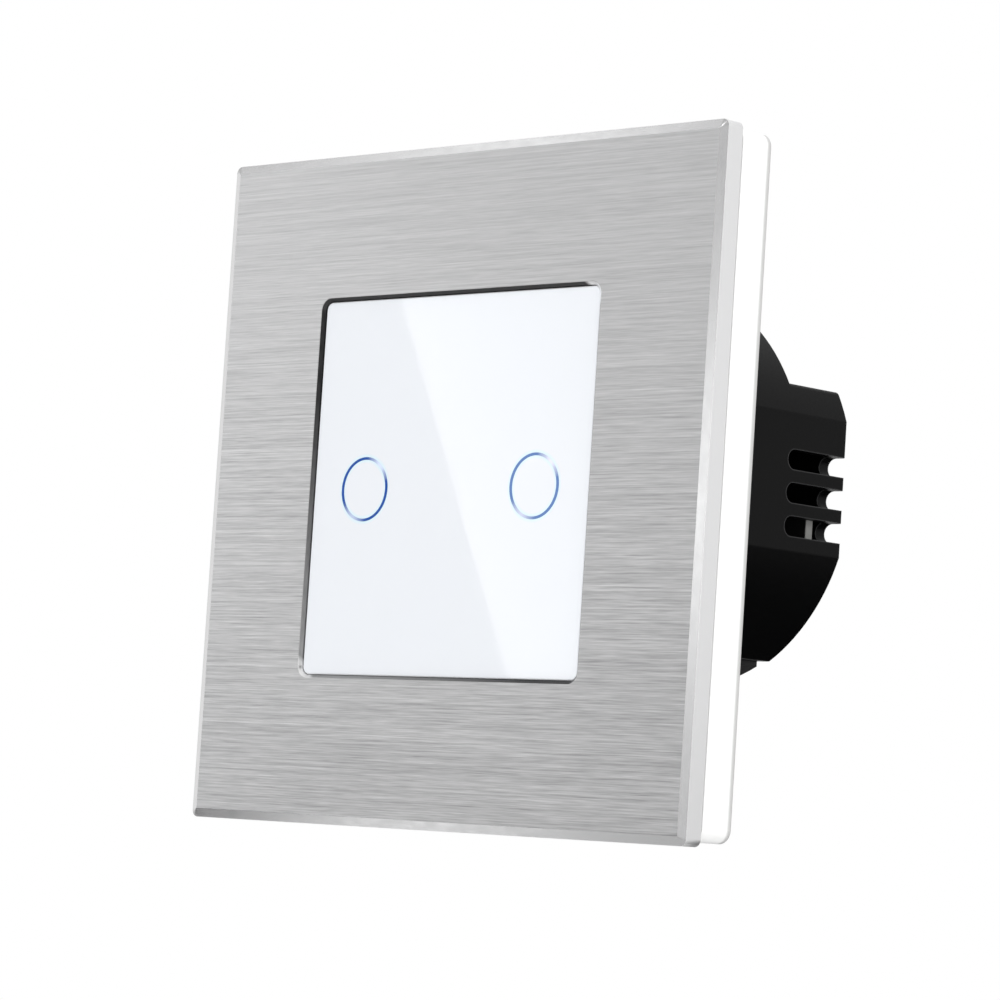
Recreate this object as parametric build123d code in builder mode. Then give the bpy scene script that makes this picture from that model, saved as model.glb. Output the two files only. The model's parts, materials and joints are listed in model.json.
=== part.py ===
from build123d import *
import os

# A touch light switch for a round wall box.
# X runs to the right, Y into the wall and Z up, in millimetres.
# The origin is on the wall plane, behind the centre of the square front plate.
# Depths count into the wall. A piece is drawn on its rear face and grows towards the room.

# Front frame: brushed plate, adhesive sheet and white back frame
plate_thick = 2.75
plate_corner = 1.3
bevel_width = 1.05
bevel_depth = 0.35
window_gap = 0.4
window_corner = 1.3
window_chamfer = 0.4
tape_thick = 0.15
tape_width = 10.0
tape_margin = 1.5
frame_depth = 4.75
frame_inset = 0.5
frame_wall = 2.0
frame_skin = 1.3
frame_corner = 1.6
frame_window_gap = 0.4
clip_wall = 1.4
clip_gap = 0.3
clip_opening = 26.0
rib_thick = 1.2
rib_offset = 18.0

# Touch panel: glass, light film, carrier and touch board
glass_side = 44.7
glass_corner = 1.0
glass_thick = 2.5
glass_recess = 0.45
glass_edge = 0.2
film_thick = 0.15
film_inset = 0.3
carrier_plate = 1.3
carrier_wall = 1.4
carrier_tab_width = 5.0
carrier_tab_thick = 1.0
carrier_tab_length = 0.8
carrier_tab_pitch = 28.0
carrier_tab_gap = 0.15
touch_board_gap = 0.25
touch_board_thick = 1.0
ring_edge_distance = 8.55
ring_drop = 0.3
ring_radius = 3.66
ring_width = 1.0
ring_thick = 0.7
pad_radius = 2.5
pad_thick = 0.1
led_count = 4
led_length = 0.8
led_width = 0.5
led_height = 0.35
chip_length = 4.9
chip_width = 3.9
chip_height = 1.2
chip_rise = 5.6
chip_lead_count = 4
chip_lead_pitch = 1.1
chip_lead_width = 0.4
chip_lead_reach = 0.9
chip_lead_thick = 0.3
pin_count = 6
pin_pitch = 2.54
pin_side = 0.64
pin_grip = 5.0
pin_gap = 0.1
strip_width = 2.4
strip_height = 1.5

# Wall yoke and base cover
wall_screw_pitch = 60.0
yoke_edge = 5.0
yoke_gap = 3.0
yoke_thick = 1.0
yoke_corner = 3.0
yoke_seat = 3.6
slot_length = 6.0
slot_width = 3.9
corner_hole_edge = 4.5
corner_hole_radius = 1.75
cover_margin = 3.65
cover_thick = 1.2
cover_corner = 2.0
collar_gap = 0.2
collar_wall = 1.2
collar_depth = 1.6
well_width = 28.0
well_height = 20.0
well_depth = 1.8
well_wall = 1.1
well_slot_gap = 0.5
boss_radius = 2.7
boss_edge_distance = 9.2
screw_hole_radius = 1.35
screw_head_radius = 2.2
screw_head_height = 1.0
screw_head_gap = 0.1
screw_radius = 1.0
screw_length = 13.0
screw_slot_width = 0.6
screw_slot_depth = 0.5

# Rear housing
axis_rise = 3.75
housing_radius = 24.6
housing_wall = 1.7
housing_depth = 36.8
flat_cut = 1.4
block_rise = 11.85
block_corner = 0.8
rear_edge = 0.4
vent_count = 3
vent_pitch = 3.95
vent_height = 2.4
vent_drop = 1.3
vent_run = 10.8
vent_reach = 2.8
notch_drop = 20.7
notch_length = 8.0
lug_half_width = 11.0
lug_relief = 0.6
column_radius = 2.6
neck_radius = 1.9
pilot_gap = 0.05

# Power board and its parts
board_setback = 17.0
board_thick = 1.6
board_gap = 0.5
socket_height = 11.0
socket_width = 2.5
socket_hole_side = 0.84
socket_spare_depth = 1.0
relay_length = 17.6
relay_width = 10.1
relay_height = 12.3
relay_side_gap = 2.5
relay_shell = 0.6
relay_base_thick = 1.6
relay_inset = 0.3
relay_iron = 1.2
relay_iron_width = 6.4
relay_coil_radius = 3.4
relay_winding_radius = 3.0
relay_coil_height = 6.6
relay_coil_flange = 0.6
relay_core_radius = 1.5
relay_core_proud = 0.2
armature_thick = 0.8
armature_gap = 0.6
armature_length = 14.8
contact_radius = 1.1
contact_thick = 0.5
contact_gap = 1.0
contact_reach = 12.3
contact_post_width = 2.4
contact_post_thick = 1.6
core_width = 6.0
core_height = 10.8
core_stand = 3.05
core_end = 1.3
core_leg = 1.8
core_middle_leg = 2.8
core_side = 12.5
core_drop = 7.3
bobbin_width = 17.2
bobbin_wall = 0.6
bobbin_flange = 1.2
bobbin_post = 2.0
bobbin_post_inset = 0.4
bobbin_gap = 0.1
winding_thick = 1.3
film_cap_width = 10.0
film_cap_height = 6.0
film_cap_rear_gap = 5.5
film_cap_edge = 0.5
film_cap_side = 12.2
film_cap_drop = 9.6
filter_cap_radius = 4.0
filter_cap_length = 11.5
filter_cap_rise = 7.4
filter_cap_edge = 0.6
varistor_radius = 4.4
varistor_thick = 3.2
varistor_drop = 6.0
varistor_stand = 1.5
varistor_wire_offset = 2.5
wire_radius = 0.35
fuse_radius = 1.2
fuse_length = 7.0
fuse_cap_length = 1.4
fuse_cap_thick = 0.1
fuse_edge_distance = 5.4
fuse_wire = 2.0
rectifier_length = 8.2
rectifier_width = 6.2
rectifier_height = 3.2
rectifier_side = 9.6
rectifier_drop = 13.2
regulator_length = 4.5
regulator_width = 2.6
regulator_height = 1.5
regulator_side = 8.8
regulator_drop = 12.6
part_lead_width = 0.6
part_lead_reach = 0.8
part_lead_thick = 0.4

# Wire terminals, from left to right
pole_names = ["left", "live", "right"]
pole_pitch = 7.5
pole_width = 7.3
pole_wall = 1.3
pole_gap = 0.2
pole_rear_gap = 0.1
wire_bore_radius = 1.5
wire_bore_offset = 2.9
clamp_width = 5.6
clamp_height = 7.0
clamp_front_wall = 1.0
clamp_rear_wall = 2.0
clamp_rear_space = 0.5
clamp_pin_radius = 0.6
tunnel_width = 3.8
tunnel_depth = 4.0
tunnel_margin = 0.1
plate_side_gap = 0.15
plate_end_gap = 0.2
pressure_plate_thick = 0.7
clamp_screw_radius = 1.7
clamp_screw_length = 3.6
clamp_screw_slot = 0.6
clamp_screw_slot_depth = 0.9
access_radius = 2.1

# Shared gaps
seat_gap = 0.05
overrun = 1.0
least_corner = 0.25

# Depths that follow from the sizes above
rear_inner = housing_depth - housing_wall
clamp_back = rear_inner - clamp_rear_space
tunnel_back = clamp_back - clamp_rear_wall
tunnel_front = tunnel_back - tunnel_depth
clamp_front = tunnel_front - clamp_front_wall
wire_depth = tunnel_front + tunnel_margin + wire_bore_radius
step_depth = wire_depth - wire_bore_offset
step_inner = step_depth - housing_wall
vent_start = housing_depth - vent_run
front_face = -(plate_thick + tape_thick + frame_depth)
plate_back = front_face + plate_thick
glass_front = front_face + glass_recess
glass_back = glass_front + glass_thick
film_back = glass_back + film_thick
carrier_plate_back = film_back + carrier_plate
touch_board_back = carrier_plate_back + touch_board_thick
cover_front = -yoke_thick - cover_thick
carrier_back = max(cover_front - seat_gap, touch_board_back)
well_bottom = cover_front + well_depth
board_back = board_setback + board_thick
socket_front = board_setback - socket_height
neck_front = collar_depth + seat_gap

# Widths and heights that follow from the sizes above
yoke_side = wall_screw_pitch + 2 * yoke_edge
corner_hole_pitch = yoke_side - 2 * corner_hole_edge
plate_side = yoke_side + 2 * (yoke_gap + frame_wall)
frame_height = plate_side - 2 * frame_inset
window_side = glass_side + 2 * window_gap
cover_side = glass_side + 2 * cover_margin
ring_offset = glass_side / 2 - ring_edge_distance
housing_inner_radius = housing_radius - housing_wall
flat_half_width = housing_radius - flat_cut
yoke_opening_radius = housing_radius - yoke_seat
boss_distance = housing_radius - boss_edge_distance
flat_inner = flat_half_width - housing_wall
relay_offset = flat_inner - relay_side_gap - relay_width / 2
block_top = axis_rise + block_rise
block_inner_top = block_top - housing_wall
collar_radius = yoke_opening_radius - collar_gap
boss_places = [(0, axis_rise + boss_distance), (0, axis_rise - boss_distance)]
carrier_inner = glass_side - 2 * carrier_wall
tab_span = glass_side - carrier_wall
ring_places = [(-ring_offset, -ring_drop), (ring_offset, -ring_drop)]
pin_row = (pin_count - 1) * pin_pitch
strip_length = pin_count * pin_pitch

# Terminal places that follow from the housing's step
nose_front = step_depth + pole_gap
nose_back = 2 * wire_depth - nose_front
pole_back = rear_inner - pole_rear_gap
pole_top = block_inner_top - pole_gap
clamp_top = pole_top - pole_wall
clamp_middle = clamp_top - clamp_height / 2
pole_places = [(-pole_pitch, clamp_middle), (0, clamp_middle), (pole_pitch, clamp_middle)]


# A drawing plane across the switch, at a depth behind the wall plane
def at_depth(depth):
    return Plane.XZ.offset(-depth)


# A drawing plane along the switch, at a distance to the right
def at_side(side):
    return Plane.YZ.offset(side)


# The round outline with two flat sides that the housing and its board share
def flat_sided_circle(radius, half_width):
    with Locations((0, axis_rise)):
        Circle(radius)
        Rectangle(2 * half_width, 2 * radius, mode=Mode.INTERSECT)


# Takes away what stands above a height, for the low block behind the step
def cut_above(height, radius):
    with Locations((0, height + radius)):
        Rectangle(2 * radius, 2 * radius, mode=Mode.SUBTRACT)


def save(piece, label):
    piece.part.label = label
    export_step(piece.part, f"parts/{label}.step")


os.makedirs("parts", exist_ok=True)


# Front plate: a square with a bevelled rim and a window with a fine chamfer
with BuildPart() as front_plate:
    with BuildSketch(at_depth(plate_back)):
        RectangleRounded(plate_side, plate_side, plate_corner)
    extrude(amount=plate_thick - bevel_depth)
    with BuildSketch(at_depth(front_face + bevel_depth)):
        RectangleRounded(plate_side, plate_side, plate_corner)
    with BuildSketch(at_depth(front_face)):
        brushed_side = plate_side - 2 * bevel_width
        RectangleRounded(brushed_side, brushed_side, max(plate_corner - bevel_width, least_corner))
    loft(ruled=True)
    with BuildSketch(at_depth(plate_back)):
        RectangleRounded(window_side, window_side, window_corner)
    extrude(amount=plate_thick, mode=Mode.SUBTRACT)
    with BuildSketch(at_depth(front_face + window_chamfer)):
        RectangleRounded(window_side, window_side, window_corner)
    with BuildSketch(at_depth(front_face)):
        wide_window = window_side + 2 * window_chamfer
        RectangleRounded(wide_window, wide_window, window_corner + window_chamfer)
    loft(ruled=True, mode=Mode.SUBTRACT)
save(front_plate, "front_plate")


# Adhesive sheet: a thin square ring between the plate and the back frame
with BuildPart() as plate_tape:
    tape_inner = window_side + 2 * tape_margin
    tape_outer = tape_inner + 2 * tape_width
    with BuildSketch(at_depth(plate_back + tape_thick)):
        RectangleRounded(tape_outer, tape_outer, plate_corner)
        RectangleRounded(tape_inner, tape_inner, window_corner, mode=Mode.SUBTRACT)
    extrude(amount=tape_thick)
save(plate_tape, "plate_tape")


# Back frame: an open tray with a window, corner clips round the base cover and stiffening ribs
with BuildPart() as back_frame:
    clip_inner = cover_side + 2 * clip_gap
    clip_outer = clip_inner + 2 * clip_wall
    clip_back = -yoke_thick - clip_gap
    skin_back = frame_skin - frame_depth
    frame_window = window_side + 2 * frame_window_gap
    with BuildSketch(at_depth(0)):
        RectangleRounded(plate_side, frame_height, frame_corner)
    extrude(amount=frame_depth)
    with BuildSketch(at_depth(0)):
        RectangleRounded(plate_side - 2 * frame_wall, frame_height - 2 * frame_wall, frame_corner)
    extrude(amount=-skin_back, mode=Mode.SUBTRACT)
    with BuildSketch(at_depth(clip_back)):
        Rectangle(clip_outer, clip_outer)
        with Locations((-rib_offset, 0), (rib_offset, 0)):
            Rectangle(rib_thick, frame_height - frame_wall)
        with Locations((0, -rib_offset), (0, rib_offset)):
            Rectangle(plate_side - frame_wall, rib_thick)
        Rectangle(clip_inner, clip_inner, mode=Mode.SUBTRACT)
        Rectangle(clip_opening, frame_height, mode=Mode.SUBTRACT)
        Rectangle(plate_side, clip_opening, mode=Mode.SUBTRACT)
    extrude(amount=clip_back - skin_back)
    with BuildSketch(at_depth(skin_back)):
        RectangleRounded(frame_window, frame_window, window_corner)
    extrude(amount=frame_skin, mode=Mode.SUBTRACT)
save(back_frame, "back_frame")


# Touch glass: a square pane with softened front edges
with BuildPart() as touch_glass:
    with BuildSketch(at_depth(glass_back)):
        RectangleRounded(glass_side, glass_side, glass_corner)
    extrude(amount=glass_thick)
    chamfer(touch_glass.faces().sort_by(Axis.Y)[0].edges(), glass_edge)
save(touch_glass, "touch_glass")


# Light film: the white mask behind the glass
with BuildPart() as light_film:
    film_side = glass_side - 2 * film_inset
    with BuildSketch(at_depth(film_back)):
        RectangleRounded(film_side, film_side, glass_corner)
    extrude(amount=film_thick)
save(light_film, "light_film")


# Module carrier: a shallow tray with a lightwell for each ring and four locating tabs
with BuildPart() as module_carrier:
    with BuildSketch(at_depth(carrier_back)):
        RectangleRounded(glass_side, glass_side, glass_corner)
    extrude(amount=carrier_back - film_back)
    with BuildSketch(at_depth(carrier_back)):
        Rectangle(carrier_inner, carrier_inner)
    extrude(amount=carrier_back - carrier_plate_back, mode=Mode.SUBTRACT)
    with BuildSketch(at_depth(carrier_plate_back)):
        with Locations(*ring_places):
            Circle(ring_radius + ring_width / 2 + seat_gap)
    extrude(amount=carrier_plate, mode=Mode.SUBTRACT)
    with BuildSketch(at_depth(carrier_back + carrier_tab_length)):
        with GridLocations(tab_span, carrier_tab_pitch, 2, 2):
            Rectangle(carrier_tab_thick, carrier_tab_width)
    extrude(amount=carrier_tab_length)
save(module_carrier, "module_carrier")


# Light ring: a clear ring that lies in its well, against the film
def build_light_ring(name, place):
    with BuildPart() as light_ring:
        with BuildSketch(at_depth(film_back + ring_thick)):
            with Locations(place):
                Circle(ring_radius + ring_width / 2)
                Circle(ring_radius - ring_width / 2, mode=Mode.SUBTRACT)
        extrude(amount=ring_thick)
    save(light_ring, name + "_light_ring")


# Touch pad: a copper disc on the touch board, inside the ring
def build_touch_pad(name, place):
    with BuildPart() as touch_pad:
        with BuildSketch(at_depth(carrier_plate_back)):
            with Locations(place):
                Circle(pad_radius)
        extrude(amount=pad_thick)
    save(touch_pad, name + "_touch_pad")


for side_name, ring_place in zip(("left", "right"), ring_places):
    build_light_ring(side_name, ring_place)
    build_touch_pad(side_name, ring_place)


# Touch board: fills the carrier's tray, behind the plate
with BuildPart() as touch_board:
    touch_board_side = carrier_inner - 2 * touch_board_gap
    with BuildSketch(at_depth(touch_board_back)):
        Rectangle(touch_board_side, touch_board_side)
    extrude(amount=touch_board_thick)
save(touch_board, "touch_board")


# Indicator lamps: small chips under each light ring
with BuildPart() as indicator_leds:
    with BuildSketch(at_depth(carrier_plate_back)):
        for ring_place in ring_places:
            with Locations(ring_place):
                with PolarLocations(ring_radius, led_count):
                    Rectangle(led_length, led_width)
    extrude(amount=led_height)
save(indicator_leds, "indicator_leds")


# Touch chip: a body with a row of leads on each side, on the rear of the touch board
with BuildPart() as touch_chip:
    with BuildSketch(at_depth(touch_board_back + chip_height)):
        with Locations((0, axis_rise + chip_rise)):
            Rectangle(chip_length, chip_width)
    extrude(amount=chip_height)
    with BuildSketch(at_depth(touch_board_back + chip_lead_thick)):
        with Locations((0, axis_rise + chip_rise)):
            with GridLocations(chip_lead_pitch, 0, chip_lead_count, 1):
                Rectangle(chip_lead_width, chip_width + 2 * chip_lead_reach)
    extrude(amount=chip_lead_thick)
save(touch_chip, "touch_chip")


# Pin strip: the plastic bar that holds the header pins
with BuildPart() as pin_strip:
    with BuildSketch(at_depth(touch_board_back + strip_height)):
        with Locations((0, axis_rise)):
            Rectangle(strip_length, strip_width)
            with GridLocations(pin_pitch, 0, pin_count, 1):
                Rectangle(pin_side + pin_gap, pin_side + pin_gap, mode=Mode.SUBTRACT)
    extrude(amount=strip_height)
save(pin_strip, "pin_strip")


# Header pins: from the touch board down into the socket
with BuildPart() as header_pins:
    pin_end = socket_front + pin_grip
    with BuildSketch(at_depth(pin_end)):
        with Locations((0, axis_rise)):
            with GridLocations(pin_pitch, 0, pin_count, 1):
                Rectangle(pin_side, pin_side)
    extrude(amount=pin_end - touch_board_back)
save(header_pins, "header_pins")


# Mounting yoke: a steel plate with two slots on the wall box pitch
with BuildPart() as mounting_yoke:
    with BuildSketch(at_depth(0)):
        RectangleRounded(yoke_side, yoke_side, yoke_corner)
        with Locations((0, axis_rise)):
            Circle(yoke_opening_radius, mode=Mode.SUBTRACT)
        with GridLocations(wall_screw_pitch, 0, 2, 1):
            SlotOverall(slot_length, slot_width, mode=Mode.SUBTRACT)
        with GridLocations(corner_hole_pitch, corner_hole_pitch, 2, 2):
            Circle(corner_hole_radius, mode=Mode.SUBTRACT)
    extrude(amount=yoke_thick)
save(mounting_yoke, "mounting_yoke")


# Base cover: a plate on the yoke, a collar through its opening, a well and two screw bosses
with BuildPart() as base_cover:
    with BuildSketch(at_depth(-yoke_thick)):
        RectangleRounded(cover_side, cover_side, cover_corner)
    extrude(amount=cover_thick)
    with BuildSketch(at_depth(collar_depth)):
        with Locations((0, axis_rise)):
            Circle(collar_radius)
            Circle(collar_radius - collar_wall, mode=Mode.SUBTRACT)
        with Locations(*boss_places):
            Circle(boss_radius)
    extrude(amount=collar_depth + yoke_thick)
    with BuildSketch(at_depth(well_bottom + well_wall)):
        with Locations((0, axis_rise)):
            Rectangle(well_width + 2 * well_wall, well_height + 2 * well_wall)
    extrude(amount=well_bottom + well_wall + yoke_thick)
    with BuildSketch(at_depth(well_bottom)):
        with Locations((0, axis_rise)):
            Rectangle(well_width, well_height)
    extrude(amount=well_depth, mode=Mode.SUBTRACT)
    with BuildSketch(at_depth(well_bottom + well_wall)):
        with Locations((0, axis_rise)):
            pin_slot_length = pin_row + pin_side + 2 * well_slot_gap
            Rectangle(pin_slot_length, pin_side + 2 * well_slot_gap)
    extrude(amount=well_wall, mode=Mode.SUBTRACT)
    with BuildSketch(at_depth(-yoke_thick)):
        with GridLocations(tab_span, carrier_tab_pitch, 2, 2):
            tab_slot_thick = carrier_tab_thick + 2 * carrier_tab_gap
            Rectangle(tab_slot_thick, carrier_tab_width + 2 * carrier_tab_gap)
    extrude(amount=cover_thick, mode=Mode.SUBTRACT)
    with BuildSketch(at_depth(collar_depth)):
        with Locations(*boss_places):
            Circle(screw_hole_radius)
    extrude(amount=collar_depth - cover_front, mode=Mode.SUBTRACT)
    with BuildSketch(at_depth(cover_front + screw_head_height + screw_head_gap)):
        with Locations(*boss_places):
            Circle(screw_head_radius + screw_head_gap)
    extrude(amount=screw_head_height + screw_head_gap, mode=Mode.SUBTRACT)
save(base_cover, "base_cover")


# Housing screws: two slotted screws that hold cover, yoke and housing together
with BuildPart() as housing_screws:
    head_back = cover_front + screw_head_gap + screw_head_height
    with BuildSketch(at_depth(head_back)):
        with Locations(*boss_places):
            Circle(screw_head_radius)
    extrude(amount=screw_head_height)
    with BuildSketch(at_depth(head_back + screw_length)):
        with Locations(*boss_places):
            Circle(screw_radius)
    extrude(amount=screw_length)
    with BuildSketch(at_depth(cover_front + screw_head_gap + screw_slot_depth)):
        with Locations(*boss_places):
            Rectangle(2 * screw_head_radius, screw_slot_width)
    extrude(amount=screw_slot_depth, mode=Mode.SUBTRACT)
save(housing_screws, "housing_screws")


# Rear housing: the round black shell with its low block, side vents and two screw columns
with BuildPart() as rear_housing:
    with BuildSketch(at_depth(step_depth)):
        flat_sided_circle(housing_radius, flat_half_width)
    extrude(amount=step_depth)
    with BuildSketch(at_depth(housing_depth)) as block_outline:
        flat_sided_circle(housing_radius, flat_half_width)
        cut_above(block_top, housing_radius)
        fillet(block_outline.vertices().group_by(Axis.Y)[-1], block_corner)
    extrude(amount=housing_depth - step_depth)
    chamfer(rear_housing.faces().sort_by(Axis.Y)[-1].edges(), rear_edge)
    with BuildSketch(at_depth(step_inner)):
        flat_sided_circle(housing_inner_radius, flat_inner)
    extrude(amount=step_inner, mode=Mode.SUBTRACT)
    with BuildSketch(at_depth(rear_inner)):
        flat_sided_circle(housing_inner_radius, flat_inner)
        cut_above(block_inner_top, housing_radius)
    extrude(amount=rear_inner - step_inner, mode=Mode.SUBTRACT)
    # screw columns, stepped where the power board rests on them
    for boss_place, column_back in zip(boss_places, (step_inner, rear_inner)):
        with BuildSketch(at_depth(column_back)):
            with Locations(boss_place):
                Circle(column_radius)
        extrude(amount=column_back - board_back - seat_gap)
        with BuildSketch(at_depth(board_back + seat_gap)):
            with Locations(boss_place):
                Circle(neck_radius)
        extrude(amount=board_back + seat_gap - neck_front)
    with BuildSketch(at_depth(neck_front + screw_length)):
        with Locations(*boss_places):
            Circle(screw_radius + pilot_gap)
    extrude(amount=screw_length, mode=Mode.SUBTRACT)
    # vents: open at the rear, with round ends, on both flat sides
    vent_middle = axis_rise - vent_drop
    vent_notch = 2 * (vent_reach + overrun)
    vent_length = 2 * (housing_depth - vent_start)
    notch_middle = flat_half_width - vent_reach + vent_notch / 2
    with BuildSketch(at_depth(housing_depth)):
        with Locations((-notch_middle, vent_middle), (notch_middle, vent_middle)):
            with GridLocations(0, vent_pitch, 1, vent_count):
                SlotOverall(vent_notch, vent_height)
    extrude(amount=housing_wall, mode=Mode.SUBTRACT)
    with BuildSketch(at_side(-flat_half_width), at_side(flat_inner)):
        with Locations((vent_start + vent_length / 2, vent_middle)):
            with GridLocations(0, vent_pitch, 1, vent_count):
                SlotOverall(vent_length, vent_height)
    extrude(amount=housing_wall, mode=Mode.SUBTRACT)
    # finger notches beside the bottom lug, which is a little lower than the round body
    notch_side = lug_half_width + housing_radius / 2
    lug_cut_middle = axis_rise - notch_drop - housing_radius
    with BuildSketch(at_depth(housing_depth)):
        with Locations((0, lug_cut_middle)):
            Rectangle(2 * housing_radius, 2 * housing_radius)
        with Locations((0, axis_rise)):
            Circle(housing_radius - lug_relief, mode=Mode.SUBTRACT)
        with Locations((-notch_side, lug_cut_middle), (notch_side, lug_cut_middle)):
            Rectangle(housing_radius, 2 * housing_radius)
    extrude(amount=notch_length, mode=Mode.SUBTRACT)
    # window for the terminals' noses and a hole over each clamp screw
    with BuildSketch(Plane.XY.offset(block_inner_top)):
        with Locations((0, (step_depth + nose_back + pole_gap) / 2)):
            Rectangle(len(pole_names) * pole_pitch, nose_back + pole_gap - step_depth)
    extrude(amount=housing_wall, mode=Mode.SUBTRACT)
    with BuildSketch(at_depth(housing_depth)):
        with Locations(*pole_places):
            Circle(access_radius)
    extrude(amount=housing_wall, mode=Mode.SUBTRACT)
save(rear_housing, "rear_housing")


# Power board: a round board with flat sides, on the columns' shoulders
with BuildPart() as power_board:
    with BuildSketch(at_depth(board_back)):
        flat_sided_circle(housing_inner_radius - board_gap, flat_inner - board_gap)
        with Locations(*boss_places):
            Circle(neck_radius + seat_gap, mode=Mode.SUBTRACT)
        with Locations(*pole_places):
            Circle(clamp_pin_radius + seat_gap, mode=Mode.SUBTRACT)
    extrude(amount=board_thick)
save(power_board, "power_board")


# Header socket: a tall bar with a square hole for each pin
with BuildPart() as header_socket:
    with BuildSketch(at_depth(board_setback)):
        with Locations((0, axis_rise)):
            Rectangle(strip_length, socket_width)
    extrude(amount=socket_height)
    with BuildSketch(at_depth(socket_front + pin_grip + socket_spare_depth)):
        with Locations((0, axis_rise)):
            with GridLocations(pin_pitch, 0, pin_count, 1):
                Rectangle(socket_hole_side, socket_hole_side)
    extrude(amount=pin_grip + socket_spare_depth, mode=Mode.SUBTRACT)
save(header_socket, "header_socket")


# Relay: base, iron frame with its core, coil, hinged armature, fixed contact and cover
def build_relay(name, side):
    low_end = axis_rise - relay_length / 2 + relay_shell + relay_inset
    hinge_height = low_end + relay_iron
    coil_height = hinge_height + relay_inset + relay_coil_radius
    contact_height = hinge_height + contact_reach
    base_front = board_setback - relay_base_thick
    iron_front = base_front - relay_iron
    coil_front = iron_front - relay_coil_height
    pole_face = coil_front - relay_core_proud
    armature_back = pole_face - armature_gap
    contact_front = armature_back + contact_thick + contact_gap
    base_gap = 2 * (relay_shell + seat_gap)

    with BuildPart() as relay_base:
        with BuildSketch(at_depth(board_setback)):
            with Locations((side, axis_rise)):
                Rectangle(relay_width - base_gap, relay_length - base_gap)
        extrude(amount=relay_base_thick)
    save(relay_base, name + "_relay_base")

    with BuildPart() as relay_frame:
        with BuildSketch(at_depth(base_front)):
            with Locations((side, (low_end + coil_height + relay_core_radius) / 2)):
                Rectangle(relay_iron_width, coil_height + relay_core_radius - low_end)
        extrude(amount=relay_iron)
        with BuildSketch(at_depth(base_front)):
            with Locations((side, low_end + relay_iron / 2)):
                Rectangle(relay_iron_width, relay_iron)
        extrude(amount=base_front - armature_back - seat_gap)
        with BuildSketch(at_depth(base_front)):
            with Locations((side, coil_height)):
                Circle(relay_core_radius)
        extrude(amount=base_front - pole_face)
    save(relay_frame, name + "_relay_frame")

    with BuildPart() as relay_coil:
        with BuildSketch(at_depth(iron_front)):
            with Locations((side, coil_height)):
                Circle(relay_winding_radius)
        extrude(amount=relay_coil_height)
        with BuildSketch(at_depth(iron_front), at_depth(coil_front + relay_coil_flange)):
            with Locations((side, coil_height)):
                Circle(relay_coil_radius)
        extrude(amount=relay_coil_flange)
        with BuildSketch(at_depth(iron_front)):
            with Locations((side, coil_height)):
                Circle(relay_core_radius + seat_gap)
        extrude(amount=relay_coil_height, mode=Mode.SUBTRACT)
    save(relay_coil, name + "_relay_coil")

    with BuildPart() as relay_armature:
        with BuildSketch(at_depth(armature_back)):
            with Locations((side, low_end + armature_length / 2)):
                Rectangle(relay_iron_width, armature_length)
        extrude(amount=armature_thick)
        with BuildSketch(at_depth(armature_back + contact_thick)):
            with Locations((side, contact_height)):
                Circle(contact_radius)
        extrude(amount=contact_thick)
    save(relay_armature, name + "_relay_armature")

    with BuildPart() as relay_contact:
        with BuildSketch(at_depth(base_front)):
            with Locations((side, contact_height)):
                Rectangle(contact_post_width, contact_post_thick)
        extrude(amount=base_front - contact_front - contact_thick)
        with BuildSketch(at_depth(contact_front + contact_thick)):
            with Locations((side, contact_height)):
                Circle(contact_radius)
        extrude(amount=contact_thick)
    save(relay_contact, name + "_relay_contact")

    with BuildPart() as relay_cover:
        with BuildSketch(at_depth(board_setback)):
            with Locations((side, axis_rise)):
                Rectangle(relay_width, relay_length)
        extrude(amount=relay_height)
        with BuildSketch(at_depth(board_setback)):
            with Locations((side, axis_rise)):
                Rectangle(relay_width - 2 * relay_shell, relay_length - 2 * relay_shell)
        extrude(amount=relay_height - relay_shell, mode=Mode.SUBTRACT)
        chamfer(relay_cover.faces().sort_by(Axis.Y)[0].edges(), relay_inset)
    save(relay_cover, name + "_relay_cover")


build_relay("left", -relay_offset)
build_relay("right", relay_offset)


# Transformer: a ferrite core with a window each side of its middle leg, a bobbin and its winding
core_middle = axis_rise - core_drop
core_back = rear_inner - seat_gap
core_front = board_back + core_stand
core_length = core_back - core_front
core_window = core_height / 2 - core_leg - core_middle_leg / 2
winding_front = core_front + core_end + bobbin_gap + bobbin_flange
winding_back = core_back - core_end - bobbin_gap - bobbin_flange
tube_inner_width = core_width + 2 * bobbin_gap
tube_inner_height = core_middle_leg + 2 * bobbin_gap
tube_width = tube_inner_width + 2 * bobbin_wall
tube_height = tube_inner_height + 2 * bobbin_wall
flange_height = core_middle_leg + 2 * (core_window - bobbin_gap)
bobbin_reach = housing_inner_radius - board_gap

with BuildPart() as transformer_core:
    with BuildSketch(at_side(core_side - core_width / 2)):
        with Locations(((core_front + core_back) / 2, core_middle)):
            Rectangle(core_length, core_height)
            with GridLocations(0, core_middle_leg + core_window, 1, 2):
                Rectangle(core_length - 2 * core_end, core_window, mode=Mode.SUBTRACT)
    extrude(amount=core_width)
save(transformer_core, "transformer_core")

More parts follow.
